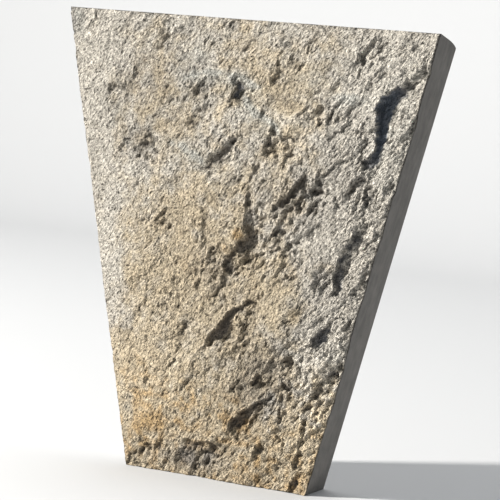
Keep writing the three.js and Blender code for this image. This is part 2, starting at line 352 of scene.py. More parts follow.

# Grey patina, darker patches mostly in hollows, painted cool shadow, as (place, half widths, gain)
GREY_SPOTS = (
    ((-25, 214), (11, 6), 0.7),
    ((-40, 221), (8, 3), 0.6),
    ((12, 246), (8, 8), 0.6),
    ((26, 236), (7, 7), 0.6),
    ((1, 262), (10, 7), 0.7),
    ((-27, 265), (14, 4), 0.5),
    ((50, 270), (12, 8), 0.4),
    ((-32, 281), (8, 5), 0.5),
    ((80, 258), (12, 4), 0.4),
    ((-126, 296), (8, 12), 0.6),
    ((88, 92), (10, 10), 0.4),
    ((108, 240), (14, 50), 0.3),
    ((-64, 42), (6, 9), 0.4),
    ((-86, 236), (6, 5), 0.3),
)
DARKENED_SPOTS = (
    ((32, 71), (20, 22), 0.6),
    ((50, 197), (20, 18), 0.4),
    ((-7, 141), (13, 15), 0.35),
    ((71, 141), (10, 18), 0.2),
    ((-14, 14), (20, 9), 0.9),
    ((-69, 219), (11, 10), 0.6),
    ((-67, 262), (18, 22), 0.2),
    ((90, 230), (9, 22), 0.3),
    ((-130, 298), (7, 10), 0.7),
    ((-48, 9), (16, 7), 0.25),
)
# PAINTED_COOL_SHADOW_SPOTS: where the painted shadow under the cliffs turns bluish and darker
PAINTED_COOL_SHADOW_SPOTS = (
    ((100, 248), (14, 40), 1.2),
    ((-2, 258), (8, 8), 0.8),
    ((82, 158), (14, 34), 0.6),
    ((76, 98), (14, 28), 0.6),
    ((56, 8), (8, 16), 0.5),
)

# Painted light and shade, partly the stone's own tone: paler and darker parts of the face where
# its slopes take the light differently, as (place, half widths, gain)
PAINTED_LIGHT_AND_TONE_SPOTS = (
    ((76, 70), (18, 52), 0.42),
    ((60, 48), (14, 34), 0.17),
    ((45, 130), (18, 50), 0.05),
    ((64, 168), (26, 40), 0.05),
    ((98, 230), (22, 62), 0.26),
    ((43, 222), (14, 30), 0.12),
    ((46, 237), (15, 11), 0.16),
    ((-6, 239), (16, 11), 0.12),
    ((78, 262), (16, 8), 0.14),
    ((66, 214), (11, 11), -0.14),
    ((68, 112), (11, 11), -0.1),
    ((12, 122), (20, 15), -0.08),
    ((30, 46), (13, 13), -0.08),
    ((2, 225), (16, 30), 0.10),
    ((104, 285), (22, 18), 0.08),
    ((-56, 248), (42, 30), -0.17),
    ((-42, 48), (36, 46), 0.17),
    ((40, 18), (40, 26), 0.15),
)

# Pale lines of patina as courses of points (x, z, strength)
PATINA_WIDTH = 2.2
PATINA_LINES = (
    ((-46, 222, 0), (-36, 218, 1), (-26, 213, 1), (-20, 208, 0.3)),
    ((-45, 261, 0), (-34, 266, 0.6), (-10, 269, 0.7), (6, 267, 0.8), (18, 261, 0.5)),
    ((4, 256, 0.2), (9, 251, 0.8), (16, 244, 0.8), (27, 240, 0.6), (34, 232, 0.5)),
    ((64, 259, 0), (76, 260, 0.5), (98, 258, 0.3)),
)

# Painted shade on rock sunk under the face around it, as (times that face is averaged, depths
# between which the stone darkens), and the shade that it darkens to
HOLLOW_PAINTED_SHADE = (40, (0.1, 1.6))
CLEFT_PAINTED_SHADE = (4, (-0.1, 0.45))
SUNK_PAINTED_SHADES = {"hollow": 0.7, "cleft_painted_shade": 0.76}

# The curve by which a screen shows its colours
SRGB_FULL = 255
SRGB_TOE, SRGB_TOE_SLOPE = 0.04045, 12.92
SRGB_OFFSET, SRGB_POWER = 0.055, 2.4

# Colours as they look in full light
ROCK_GREY_CREAM = (194, 187, 175)
ROCK_BUFF = (190, 175, 150)
ROCK_OCHRE = (182, 155, 116)
ROCK_PATINA = (184, 183, 175)
ROCK_DARKENED = (128, 124, 120)
# ROCK_PAINTED_SHADOW and ROCK_PAINTED_SHADOW_COOL are painted shadow under the ledges' cliffs, warm
# and bluish
ROCK_PAINTED_SHADOW = (116, 108, 100)
ROCK_PAINTED_SHADOW_COOL = (96, 106, 120)
CAST_DARK = (120, 117, 113)
CAST_LIGHT = (132, 128, 123)

# The warmth between which cream turns to buff and buff to ochre, and how much the others cover
BUFF_WARMTH = (0.0, 0.5)
OCHRE_WARMTH = (0.5, 1.1)
PATINA_COVER = 0.8
DARKENED_COVER = 0.8
# PAINTED_SHADOW_COVER: how far the painted shadow under a cliff covers the stone's colour
PAINTED_SHADOW_COVER = 0.85

# Patterns in the stone as (size, detail, roughness, the noise's range, the range it becomes)
ROCK_WARMTH = (9, 3, 0.5, (0.3, 0.7), (-0.12, 0.12))
# Light and dark grains: partly the stone's speckle, partly painted light and shade of grains finer
# than the mesh
ROCK_GRAINS_AND_PAINTED_LIGHT = (0.9, 2, 0.6, (0.3, 0.7), (0.62, 1.26))
ROCK_MOTTLE = (6, 4, 0.6, (0.3, 0.7), (0.88, 1.1))
# Dark specks: painted shadow in small pits between grains finer than the mesh
ROCK_PAINTED_SHADOW_SPECKS = (1.4, 2, 0.7, (0.3, 0.47), (0.16, 1.09))
ROCK_ROUGHNESS = (3, 3, 0.5, (0.3, 0.7), (0.86, 1.0))
CAST_STREAKS = (4, 3, 0.5, (0.3, 0.7), (0.0, 1.0))
CAST_CLOUD = (26, 4, 0.5, (0.3, 0.7), (0.9, 1.1))
CAST_PORES = (1.3, 2, 0.5, (0.27, 0.36), (0.7, 1.0))
CAST_ROUGHNESS = (5, 3, 0.5, (0.3, 0.7), (0.75, 0.92))

# How far grains are drawn out along the rock's grain, and streaks upright on the cast faces
ROCK_DRAW = 2.1
STREAK_DRAW = 3

# Bumps finer than the mesh: noise as (size, detail, roughness), and (depth, strength) of each
ROCK_BUMP_NOISE = (1.2, 3, 0.7)
ROCK_BUMP = (4.0, 1.0)
GRAIN_BUMP_SIZE = 1.1
GRAIN_BUMP = (1.4, 1.0)
CAST_BUMP_NOISE = (1.1, 3, 0.5)
CAST_BUMP = (0.25, 0.5)
PORE_BUMP = (0.5, 0.6)
SPECULAR = 0.25

# The studio, in metres
STUDIO_WHITE = (0.6, 0.6, 0.6, 1.0)
STUDIO_ROUGHNESS = 0.9
FLOOR_HALF = 5.0
FLOOR_NEAR = -4.0
FLOOR_FAR = 1.6
SWEEP_RADIUS = 0.8
SWEEP_STEPS = 16
WALL_TOP = 4.0

# Lamps, in metres and watts: the key stands up and to the left, in front of the stone
KEY_DIRECTION = (-0.71, -0.6, 0.38)
KEY_DISTANCE = 3.0
KEY_SIZE = 0.2
KEY_WATTS = 213
KEY_COLOUR = (1.0, 0.98, 0.945)
BACKDROP_LAMP = (0.0, 0.9, 3.2)
BACKDROP_AIM = (0.0, 2.2, 0.4)
BACKDROP_SIZE = 2.0
BACKDROP_WATTS = 50
BACKDROP_COLOUR = (1.0, 1.0, 1.0)
AIR_COLOUR = (0.8, 0.9, 1.0, 1.0)
AIR_STRENGTH = 0.24

# The photograph's camera, fitted to the outline of the stone: degrees and millimetres
CAMERA_YAW = 24.69
CAMERA_PITCH = 4.85
CAMERA_ROLL = 4.85
CAMERA_AIM = (15.14, -12.69, 155.84)
CAMERA_DISTANCE = 1362.5
CAMERA_SENSOR = 36.0
CAMERA_LENS = 150.5


def smoothstep(low, high, value):
    t = np.clip((value - low) / (high - low), 0, 1)
    return t * t * (3 - 2 * t)


def ramp(start, end, value):
    """Smoothly from 0 at start to 1 at end, whichever of the two is the higher."""
    if start < end:
        return smoothstep(start, end, value)
    return 1 - smoothstep(end, start, value)


def mix(low, high, share):
    return low + (high - low) * share


def cell_of(x, z):
    """The lattice cell that holds a place."""
    return np.floor(x).astype(np.int64), np.floor(z).astype(np.int64)


def lattice(ix, iz, seed):
    """One pseudo-random number from -1 to 1 for each corner of a square lattice."""
    first_shift, second_shift = LATTICE_SHIFTS
    word = (ix * LATTICE_X + iz * LATTICE_Z + seed * LATTICE_SEED) & WORD
    word = ((word ^ (word >> first_shift)) * LATTICE_MIX) & WORD
    word = word ^ (word >> second_shift)
    return word / HALF_WORD - 1


def noise(x, z, seed):
    """Smooth noise from -1 to 1 between those corners, one lattice step to a unit."""
    ix, iz = cell_of(x, z)
    sx = smoothstep(0, 1, x - ix)
    sz = smoothstep(0, 1, z - iz)
    low = mix(lattice(ix, iz, seed), lattice(ix + 1, iz, seed), sx)
    high = mix(lattice(ix, iz + 1, seed), lattice(ix + 1, iz + 1, seed), sx)
    return mix(low, high, sz)


def gradient_noise(x, z, seed):
    """Noise from about -1 to 1 with no bias to the lattice, one lattice step to a unit."""
    ix, iz = cell_of(x, z)
    in_x, in_z = x - ix, z - iz

    def pull(step_x, step_z):
        turn = math.pi * lattice(ix + step_x, iz + step_z, seed)
        return np.cos(turn) * (in_x - step_x) + np.sin(turn) * (in_z - step_z)

    sx, sz = smoothstep(0, 1, in_x), smoothstep(0, 1, in_z)
    low, high = (mix(pull(0, step_z), pull(1, step_z), sx) for step_z in (0, 1))
    return GRADIENT_GAIN * mix(low, high, sz)


def wave_height(x, z, wave, kind=noise):
    """Noise of one wave of the tables above, given as (wavelength, height, seed)."""
    length, height, seed = wave
    return height * kind(x / length, z / length, seed)


def half_width(z):
    return mix(FOOT_WIDTH, TOP_WIDTH, z / HEIGHT) / 2


def grain_axes(x, z, angle=GRAIN_ANGLE, stretch=GRAIN_STRETCH):
    """Coordinates along and across the rock's grain."""
    along = (x * math.cos(angle) + z * math.sin(angle)) / stretch
    across = z * math.cos(angle) - x * math.sin(angle)
    return along, across


def cushion(x, z):
    """The swelling cushion between the four arrises."""
    across = x / half_width(z)
    up = z / HEIGHT
    edge = mix(mix(FOOT_LEFT, TOP_LEFT, up), mix(FOOT_RIGHT, TOP_RIGHT, up), (across + 1) / 2)
    crown = (1 - np.abs(across) ** CROWN_ACROSS) * (1 - np.abs(2 * up - 1) ** CROWN_UP)
    return edge + CROWN * crown


def undulation(x, z):
    height = wave_height(x, z, BROAD_WAVE)
    along, across = grain_axes(x, z)
    for wave in GRAIN_WAVES:
        height = height + wave_height(along, across, wave)
    free = smoothstep(0, CRISP_MARGIN, x + half_width(z))
    return height * mix(CRISP_SHARE, 1, free)


def ledge_course(x, z, points):
    """How far to the right of a ledge's course a place is, and the ledge's drop there."""
    nearest = np.full_like(x, np.inf)
    across = np.zeros_like(x)
    drop = np.zeros_like(x)
    for (x0, z0, drop0), (x1, z1, drop1) in zip(points, points[1:]):
        run_x, run_z = x1 - x0, z1 - z0
        share = ((x - x0) * run_x + (z - z0) * run_z) / (run_x ** 2 + run_z ** 2)
        share = np.clip(share, 0, 1)
        away_x = x - x0 - share * run_x
        away_z = z - z0 - share * run_z
        away = np.hypot(away_x, away_z)
        to_right = np.sign(away_x * run_z - away_z * run_x)
        closer = away < nearest
        nearest = np.where(closer, away, nearest)
        across = np.where(closer, to_right * away, across)
        drop = np.where(closer, mix(drop0, drop1, share), drop)
    return across, drop


def cliff_width(x, z):
    """Half the width of a ledge's cliff: the upper left of the face is worn rounder."""
    worn = (1 - smoothstep(*ROUND_ACROSS, x)) * smoothstep(*ROUND_UP, z)
    return mix(CLIFF, ROUND_CLIFF, worn)


def ledge_relief(across, drop, reach, cliff):
    """The height above or below the level of the rock, across a ledge from left to right."""
    low = -LOW_SHARE * np.exp(-np.maximum(across, 0) / reach)
    high = (1 - LOW_SHARE) * np.exp(np.minimum(across, 0) / reach)
    return drop * mix(high, low, smoothstep(-cliff, cliff, across))


def arris_chip_ledges():
    """The ledges that part the chips off the right arris from the face."""
    for middle, half_length, drop in ARRIS_CHIPS:
        course = ((middle - half_length, 0), (middle, drop), (middle + half_length, 0))
        yield tuple((half_width(z) - ARRIS_CHIP_WIDTH, z, fall) for z, fall in course)


def swell_relief(x, z, place, size, height):
    away = np.hypot((x - place[0]) / size[0], (z - place[1]) / size[1])
    return height * np.exp(-(away ** SWELL_POWER))


def wandered(x, z):
    """The place a break is looked up at, so that its course wanders."""
    bent_x, bent_z = x, z
    for length, reach, seed_x, seed_z in (*WANDER, *FRAY):
        bent_x = bent_x + wave_height(x, z, (length, reach, seed_x))
        bent_z = bent_z + wave_height(x, z, (length, reach, seed_z))
    return bent_x, bent_z


def bent_point(x, z):
    """Where a point of the tables lands when places wander, so that breaks pass through it."""
    bent_x, bent_z = wandered(np.array([x]), np.array([z]))
    return bent_x[0], bent_z[0]


def breaks(x, z):
    """The relief of all breaks, how shattered the rock is beside them, and the painted shadow under
    them.
    """
    bent_x, bent_z = wandered(x, z)
    ragged = wave_height(x, z, RAGGED_WAVE, gradient_noise)
    height = np.zeros_like(x)
    broken = np.zeros_like(x)
    under = np.zeros_like(x)
    cliff = cliff_width(x, z)
    for points in (*LEDGES.values(), *NICKS.values(), *arris_chip_ledges()):
        course = [(*bent_point(point_x, point_z), drop) for point_x, point_z, drop in points]
        across, drop = ledge_course(bent_x, bent_z, course)
        drop = drop * (1 + ragged * (1 - smoothstep(*RAGGED_DROPS, drop)))
        reach = np.maximum(REACH * drop, LEAST_REACH)
        height = height + ledge_relief(across, drop, reach, cliff)
        beside = smoothstep(0, reach, across) * np.exp(-np.maximum(across / reach - 1, 0))
        broken = np.maximum(broken, beside * drop / SHATTER_DROP)
        # under: painted shadow on the cliff face and the rock below it
        below = smoothstep(-PAINTED_SHADOW_START * CLIFF, 0, across)
        painted_shadow_end = 1 - smoothstep(*PAINTED_SHADOW_ENDS, across / np.maximum(drop, 1))
        under = np.maximum(under, below * painted_shadow_end * smoothstep(*PAINTED_SHADOW_DROPS, drop))
    for place, size, swell in SWELLS.values():
        height = height + swell_relief(bent_x, bent_z, bent_point(*place), size, swell)
    return height, np.minimum(broken, 1), under


def round_spot(x, z, place, radius):
    """1 at a place, fading out by about twice the radius from it."""
    away = np.hypot(x - place[0], z - place[1]) / radius
    return np.exp(-(away ** 2))


def clumps(x, z, broken):
    """How broken up the surface is, from 0 up: least on the left, most by the breaks."""
    across = x / half_width(z)
    density = CLUMP_LEAST
    for gain, start, end in CLUMP_STEPS:
        density = density + gain * smoothstep(start, end, across)
    for place, radius, gain in ROUGH_SPOTS:
        density = density + ROUGH_GAIN * gain * round_spot(x, z, place, radius)
    density = density + SHATTER_GAIN * broken
    u, v = grain_axes(x, z)
    patchy = sum(wave_height(u, v, wave, gradient_noise) for wave in CLUMP_WAVES)
    return np.clip(density * (1 + patchy), 0, CLUMP_MOST)


def folded(value):
    """Noise folded over at 0 into rounded lumps with sharp clefts between."""
    return np.abs(value) - FOLD_MEAN


def facets(x, z, seed):
    """Flat facets of unit size, each with its own level and tilt, broken off towards -z."""
    ix, iz = cell_of(x, z)
    nearest, second = np.full_like(x, np.inf), np.full_like(x, np.inf)
    height, second_height = np.zeros_like(x), np.zeros_like(x)
    for step_x in (-1, 0, 1):
        for step_z in (-1, 0, 1):
            cell = (ix + step_x, iz + step_z)
            in_x = x - cell[0] - 0.5 - CHIP_JITTER * lattice(*cell, seed)
            in_z = z - cell[1] - 0.5 - CHIP_JITTER * lattice(*cell, seed + 1)
            away = np.hypot(in_x, in_z)
            tilt = lattice(*cell, seed + 2) * in_x + lattice(*cell, seed + 3) * in_z
            facet = CHIP_STEP * lattice(*cell, seed + 4) + CHIP_TILT * tilt - CHIP_LEAN * in_z
            closer = away < nearest
            next_best = ~closer & (away < second)
            second_height = np.where(closer, height, np.where(next_best, facet, second_height))
            second = np.where(closer, nearest, np.minimum(second, away))
            height = np.where(closer, facet, height)
            nearest = np.where(closer, away, nearest)
    share = mix(0.5, 1, smoothstep(0, CHIP_EDGE, second - nearest))
    return mix(second_height, height, share)


def chips(x, z, layer):
    """The relief of one layer of slabs or chips."""
    size, reach, seed, angle, stretch = layer
    along, across = grain_axes(x, z, math.radians(angle), stretch)
    return reach * facets(along / size, across / size, seed)


def turned_noise(x, z, wave):
    """Noise of one wave of the tables above, which says its length, seed, turn and stretch."""
    length, _, seed, angle, stretch = wave
    along, across = grain_axes(x, z, math.radians(angle), stretch)
    return gradient_noise(along / length, across / length, seed)


def grit(x, z, density):
    """The fine relief: slabs, lumps and sand everywhere, chips and pits in broken rock."""
    slabs, lumps, sand = (
        least + more * density for least, more in (SLAB_SHARES, LUMP_SHARES, SAND_SHARES)
    )
    length, reach, seed_x, seed_z = CHIP_WARP
    warped_x = x + wave_height(x, z, (length, reach, seed_x), gradient_noise)
    warped_z = z + wave_height(x, z, (length, reach, seed_z), gradient_noise)
    height = slabs * chips(warped_x, warped_z, SLABS) - CHIP_LOSS * density
    for layer in CHIPS:
        height = height + density * chips(warped_x, warped_z, layer)
    for wave in LUMP_WAVES:
        height = height + wave[1] * lumps * folded(turned_noise(warped_x, warped_z, wave))
    for wave in SAND_WAVES:
        height = height + wave[1] * sand * turned_noise(warped_x, warped_z, wave)
    for wave in PIT_WAVES:
        hold = turned_noise(warped_x, warped_z, wave) + PIT_SPREAD * density
        height = height - wave[1] * smoothstep(PIT_START, PIT_FLOOR, hold)
    return height


def rock_grid():
    """The rock face's points in rows, foot to head, and how much painted shadow each gets under a
    ledge.
    """
    up = np.linspace(0, 1, FACE_ROWS + 1)
    across = np.linspace(-1, 1, FACE_COLUMNS + 1)
    z = np.repeat(up[:, None] * HEIGHT, FACE_COLUMNS + 1, axis=1)
    x = across[None, :] * half_width(z)
    relief, broken, under = breaks(x, z)
    proud = cushion(x, z) + undulation(x, z) + relief + grit(x, z, clumps(x, z, broken))
    y = BACK_Y - EDGE_DEPTH - proud
    return np.stack([x, y, z], axis=-1), under


def top_fall(fraction):
    """How far the top has fallen at a fraction of the way from the front arris to the back."""
    rounding = (1 - TOP_SLOPE_SHARE) * fraction ** TOP_ROUNDING
    return TOP_FALL * (TOP_SLOPE_SHARE * fraction + rounding)


class Patchwork:
    """Points and faces of the stone, gathered patch by patch."""

    def __init__(self):
        self.points = []
        self.faces = []
        self.finish = []

    def add(self, points):
        """Adds an array of points of any shape, and gives their numbers in that shape."""
        start = len(self.points)
        self.points.extend(points.reshape(-1, 3).tolist())
        return np.arange(start, len(self.points)).reshape(points.shape[:-1])

    def patch(self, grid, finish):
        """Quads over a grid of point numbers."""
        quads = np.stack([grid[:-1, :-1], grid[:-1, 1:], grid[1:, 1:], grid[1:, :-1]], axis=-1)
        self.faces.extend(quads.reshape(-1, 4).tolist())
        self.finish.extend([finish] * (quads.size // 4))

    def stitch(self, near, far, finish):
        """Triangles between two rows of point numbers that need not be equally long."""
        i, j = 0, 0
        while i + 1 < len(near) or j + 1 < len(far):
            if (i + 1) * (len(far) - 1) <= (j + 1) * (len(near) - 1):
                self.faces.append([near[i], near[i + 1], far[j]])
                i += 1
            else:
                self.faces.append([near[i], far[j + 1], far[j]])
                j += 1
            self.finish.append(finish)


def edges(grid):
    """The four edges of a grid, clockwise in a front view from the left end of the foot."""
    return grid[:, 0], grid[-1, :], grid[::-1, -1], grid[0, ::-1]


def loop_of(runs):
    """One closed loop of four edges that share their ends."""
    return np.concatenate([run[:-1] for run in runs])


def resampled(run, cells):
    """Points spread evenly by number along a run of points."""
    at = np.linspace(0, len(run) - 1, cells + 1)
    return np.stack([np.interp(at, np.arange(len(run)), run[:, k]) for k in range(3)], axis=-1)


def nibble(run, along, inward, middle, seed):
    """Moves a run of points in towards the middle, unevenly along it; the axes are numbers."""
    uneven = noise(run[:, along] / NIBBLE_SIZE, run[:, 1] / NIBBLE_SIZE, seed)
    bite = ARRIS_BLUNT + ARRIS_NIBBLE * np.maximum(uneven, 0)
    run[:, inward] -= np.sign(run[:, inward] - middle) * bite


def blunted(rock):
    """The rock grid with its four arrises nibbled in a little, more in some places."""
    blunt = rock.copy()
    upright_seed, level_seed = NIBBLE_SEEDS
    for edge_index in (0, -1):
        nibble(blunt[:, edge_index], 2, 0, 0, upright_seed)
        nibble(blunt[edge_index], 0, 2, HEIGHT / 2, level_seed)
    return blunt


def stone_patches():
    """The whole stone as one closed skin: rock face, then rings of cast faces back to the back."""
    work = Patchwork()
    rock, under = rock_grid()
    rock_ids = work.add(blunted(rock))
    work.patch(rock_ids, ROCK)

    cells = (SHELL_ROWS, SHELL_COLUMNS, SHELL_ROWS, SHELL_COLUMNS)
    arris = loop_of([resampled(run, count) for run, count in zip(edges(rock), cells)])
    across = arris[:, 0] / half_width(arris[:, 2])
    crowded = 1 - (1 - np.arange(1, RINGS) / (RINGS - 1)) ** RING_CROWDING
    fractions = np.concatenate([[ARRIS_BAND / EDGE_DEPTH], crowded])
    rings = np.empty((RINGS, len(arris), 3))
    for ring, fraction in zip(rings, fractions):
        ring[:, 2] = arris[:, 2] * (1 - top_fall(fraction) / HEIGHT)
        ring[:, 0] = across * half_width(ring[:, 2])
        ring[:, 1] = mix(arris[:, 1], BACK_Y, fraction)
    ring_ids = work.add(rings)
    ring_ids = np.hstack([ring_ids, ring_ids[:, :1]])
    work.patch(ring_ids, CAST)

    corners = np.concatenate([[0], np.cumsum(cells)])
    runs = [slice(start, end + 1) for start, end in zip(corners, corners[1:])]
    for near, run in zip(edges(rock_ids), runs):
        work.stitch(near, ring_ids[0, run], ROCK)

    left, head, right, foot = (ring_ids[-1, run] for run in runs)
    back_ids = np.empty((SHELL_ROWS + 1, SHELL_COLUMNS + 1), dtype=int)
    back_ids[:, 0], back_ids[-1], back_ids[::-1, -1], back_ids[0, ::-1] = left, head, right, foot
    inner_z = np.linspace(0, HEIGHT - TOP_FALL, SHELL_ROWS + 1)[1:-1, None]
    inner_x = np.linspace(-1, 1, SHELL_COLUMNS + 1)[None, 1:-1] * half_width(inner_z)
    inner = np.stack(np.broadcast_arrays(inner_x, BACK_Y, inner_z), axis=-1)
    back_ids[1:-1, 1:-1] = work.add(inner)
    work.patch(back_ids[:, ::-1], CAST)
    return work, rock, under


def blurred(field, times):
    """A grid of values, each averaged with its neighbours so many times."""
    for _ in range(times):
        padded = np.pad(field, 1, mode="edge")
        field = (padded[:-2, 1:-1] + padded[2:, 1:-1] + padded[1:-1, :-2] + padded[1:-1, 2:]) / 4
    return field


def spots(x, z, places):
    """Soft-edged patches, each given as (place, half widths, gain), added up."""
    total = np.zeros_like(x)
    for place, size, gain in places:
        away = np.hypot((x - place[0]) / size[0], (z - place[1]) / size[1])
        total = total + gain * np.exp(-(away ** 2))
    return total


def warmth(x, z):
    """How warm the rock is, from about 0 for cream to 1 for ochre."""
    across = x / half_width(z)
    warm = WARM_LEAST
    for gain, start, end in WARM_BANDS:
        warm = warm + gain * ramp(start, end, z)
    for gain, counted, places, heights in WARM_AREAS:
        warm = warm + gain * ramp(*places, counted(across)) * ramp(*heights, z)
    drift = sum(wave_height(x, z, wave) for wave in WARM_WAVES)
    drift = drift + wave_height(x, z, FOOT_WAVE) * ramp(*FOOT_WAVE_HEIGHTS, z)
    warm = warm + drift
    for place, radius, gain in WARM_SPOTS:
        warm = warm + gain * round_spot(x, z, place, radius)
    return warm


def patina(x, z):
    grey = spots(x, z, GREY_SPOTS)
    for course in PATINA_LINES:
        across, strength = ledge_course(*wandered(x, z), course)
        grey = grey + strength * np.exp(-((across / PATINA_WIDTH) ** 2))
    return grey * (1 + wave_height(x, z, GREY_WAVE))


def sunk(y, times, depths):
    """Where the face lies under its own average, from 0 to 1 between two depths."""
    return smoothstep(*depths, y - blurred(y, times))


def rock_masks(rock, under):
    """What the rock's material reads at each point: all from 0 to 1, and the painted light and tone
    about 1.
    """
    x, y, z = rock[..., 0], rock[..., 1], rock[..., 2]
    # cool: painted cool shadow, bluish and deeper, under the cliffs
    painted_cool_shadow = np.clip(spots(x, z, PAINTED_COOL_SHADOW_SPOTS), 0, 1)
    darkened = spots(x, z, DARKENED_SPOTS) * (1 + wave_height(x, z, DARKENED_WAVE))
    return {
        "warm": np.clip(warmth(x, z), 0, 1),
        "grey": np.clip(patina(x, z), 0, 1),
        "darkened": np.clip(darkened, 0, 1),
        "painted_cool_shadow": painted_cool_shadow,
        # tone: painted light and shade over broad parts of the face, partly the stone's own tone
        "painted_light_and_tone": 1 + spots(x, z, PAINTED_LIGHT_AND_TONE_SPOTS),
        # hollow and cleft: painted shade where the face is sunk
        "hollow": sunk(y, *HOLLOW_PAINTED_SHADE),
        "cleft_painted_shade": sunk(y, *CLEFT_PAINTED_SHADE),
        # under: painted shadow under the cliffs, made stronger by the cool painted shadow
        "under": np.minimum(under * (1 + painted_cool_shadow), 1),
    }


def add_masks(mesh, masks):
    """Stores each mask on the mesh's points; the cast faces' points keep 0."""
    for name, mask in masks.items():
        values = np.zeros(len(mesh.vertices))
        values[:mask.size] = mask.ravel()
        mesh.attributes.new(name, "FLOAT", "POINT").data.foreach_set("value", values)


def new_object(name, data):
    made = bpy.data.objects.new(name, data)
    bpy.context.collection.objects.link(made)
    return made


def make_stone():
    """The dressed stone, one mesh with its masks and its two finishes."""
    work, rock, under = stone_patches()
    mesh = bpy.data.meshes.new("keystone_stone")
    mesh.from_pydata((np.array(work.points) * MM).tolist(), [], work.faces)
    mesh.polygons.foreach_set("material_index", work.finish)
    mesh.shade_smooth()
    mesh.set_sharp_from_angle(angle=SHARP_ANGLE)
    add_masks(mesh, rock_masks(rock, under))
    mesh.materials.append(rock_material())
    mesh.materials.append(cast_material())
    mesh.update()
    stone = new_object("keystone_stone", mesh)
    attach(stone, "root")
    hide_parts("keystone")


def linear(red, green, blue):
    """A colour as it looks on screen, 0 to 255, undone by the sRGB curve for the nodes."""
    def channel(value):
        value = value / SRGB_FULL
        if value <= SRGB_TOE:
            return value / SRGB_TOE_SLOPE
        return ((value + SRGB_OFFSET) / (1 + SRGB_OFFSET)) ** SRGB_POWER

    return (channel(red), channel(green), channel(blue), 1.0)


class Nodes:
    """Short names for the nodes of one material. Sizes are in millimetres."""

    def __init__(self, name):
        self.material = bpy.data.materials.new(name)
        self.material.use_nodes = True
        self.tree = self.material.node_tree
        self.shader = self.tree.nodes["Principled BSDF"]
        self.place = self.new("TexCoord").outputs["Object"]

    def new(self, kind):
        return self.tree.nodes.new("ShaderNode" + kind)

    def feed(self, value, socket):
        """Gives a socket a value of its own, or another node's output."""
        if isinstance(value, (int, float, tuple)):
            socket.default_value = value
        else:
            self.tree.links.new(value, socket)

    def noise(self, size, detail, rough, place=None):
        """Noise whose lumps are about so large, from 0 to 1."""
        node = self.new("TexNoise")
        self.feed(1 / (size * MM), node.inputs["Scale"])
        self.feed(detail, node.inputs["Detail"])
        self.feed(rough, node.inputs["Roughness"])
        self.feed(place or self.place, node.inputs["Vector"])
        return node.outputs["Fac"]

    def grains(self, size, place):
        """Rounded grains about so large with clefts between, from 0 to about 1."""
        node = self.new("TexVoronoi")
        self.feed(1 / (size * MM), node.inputs["Scale"])
        self.feed(place, node.inputs["Vector"])
        return self.maths("SUBTRACT", 1.0, node.outputs["Distance"])

    def drawn_out(self, factor, turn=0.0):
        """Object coordinates in which noise is drawn out upright, then turned about Y."""
        mapping = self.new("Mapping")
        mapping.vector_type = "TEXTURE"
        self.feed((1, 1, factor), mapping.inputs["Scale"])
        self.feed((0.0, turn, 0.0), mapping.inputs["Rotation"])
        self.feed(self.place, mapping.inputs["Vector"])
        return mapping.outputs["Vector"]

    def mask(self, name):
        node = self.new("Attribute")
        node.attribute_name = name
        return node.outputs["Fac"]

    def spread(self, value, low, high, to_low=0.0, to_high=1.0):
        """A value from low to high, stretched smoothly to run from to_low to to_high."""
        node = self.new("MapRange")
        node.interpolation_type = "SMOOTHSTEP"
        self.feed(value, node.inputs["Value"])
        ends = {"From Min": low, "From Max": high, "To Min": to_low, "To Max": to_high}
        for socket, end in ends.items():
            self.feed(end, node.inputs[socket])
        return node.outputs["Result"]

    def pattern(self, row, place=None):
        """Noise of one row of the tables above, spread from its own range to another."""
        size, detail, rough, own_range, new_range = row
        return self.spread(self.noise(size, detail, rough, place), *own_range, *new_range)

    def maths(self, operation, first, second):
        node = self.new("Math")
        node.operation = operation
        self.feed(first, node.inputs[0])
        self.feed(second, node.inputs[1])
        return node.outputs["Value"]

    def times(self, first, second):
        return self.maths("MULTIPLY", first, second)

    def blend(self, low, high, share, how="MIX"):
        """Two colours, each a socket or a value, mixed by a share."""
        node = self.new("Mix")
        node.data_type = "RGBA"
        node.blend_type = how
        sockets = {socket.identifier: socket for socket in node.inputs}
        self.feed(low, sockets["A_Color"])
        self.feed(high, sockets["B_Color"])
        self.feed(share, sockets["Factor_Float"])
        return {socket.identifier: socket for socket in node.outputs}["Result_Color"]

    def bump(self, height, depth, strength, under=None):
        """A normal roughened by a height, on top of another normal where one is given."""
        node = self.new("Bump")
        self.feed(strength, node.inputs["Strength"])
        self.feed(depth * MM, node.inputs["Distance"])
        self.feed(height, node.inputs["Height"])
        if under is not None:
            self.feed(under, node.inputs["Normal"])
        return node.outputs["Normal"]

    def surface(self, colour, roughness, specular, normal=None):
        """Feeds the shader, and gives the finished material."""
        self.feed(colour, self.shader.inputs["Base Color"])
        self.feed(roughness, self.shader.inputs["Roughness"])
        self.feed(specular, self.shader.inputs["Specular IOR Level"])
        if normal is not None:
            self.feed(normal, self.shader.inputs["Normal"])
        return self.material


def rock_colour(nodes):
    """Cream to buff to ochre as the stone gets warmer, under patina and darker patches."""
    warm = nodes.maths("ADD", nodes.mask("warm"), nodes.pattern(ROCK_WARMTH))
    layers = (
        (ROCK_BUFF, nodes.spread(warm, *BUFF_WARMTH)),
        (ROCK_OCHRE, nodes.spread(warm, *OCHRE_WARMTH)),
        (ROCK_PATINA, nodes.times(nodes.mask("grey"), PATINA_COVER)),
        (ROCK_DARKENED, nodes.times(nodes.mask("darkened"), DARKENED_COVER)),
    )
    colour = linear(*ROCK_GREY_CREAM)
    for layer, share in layers:
        colour = nodes.blend(colour, linear(*layer), share)
    return colour


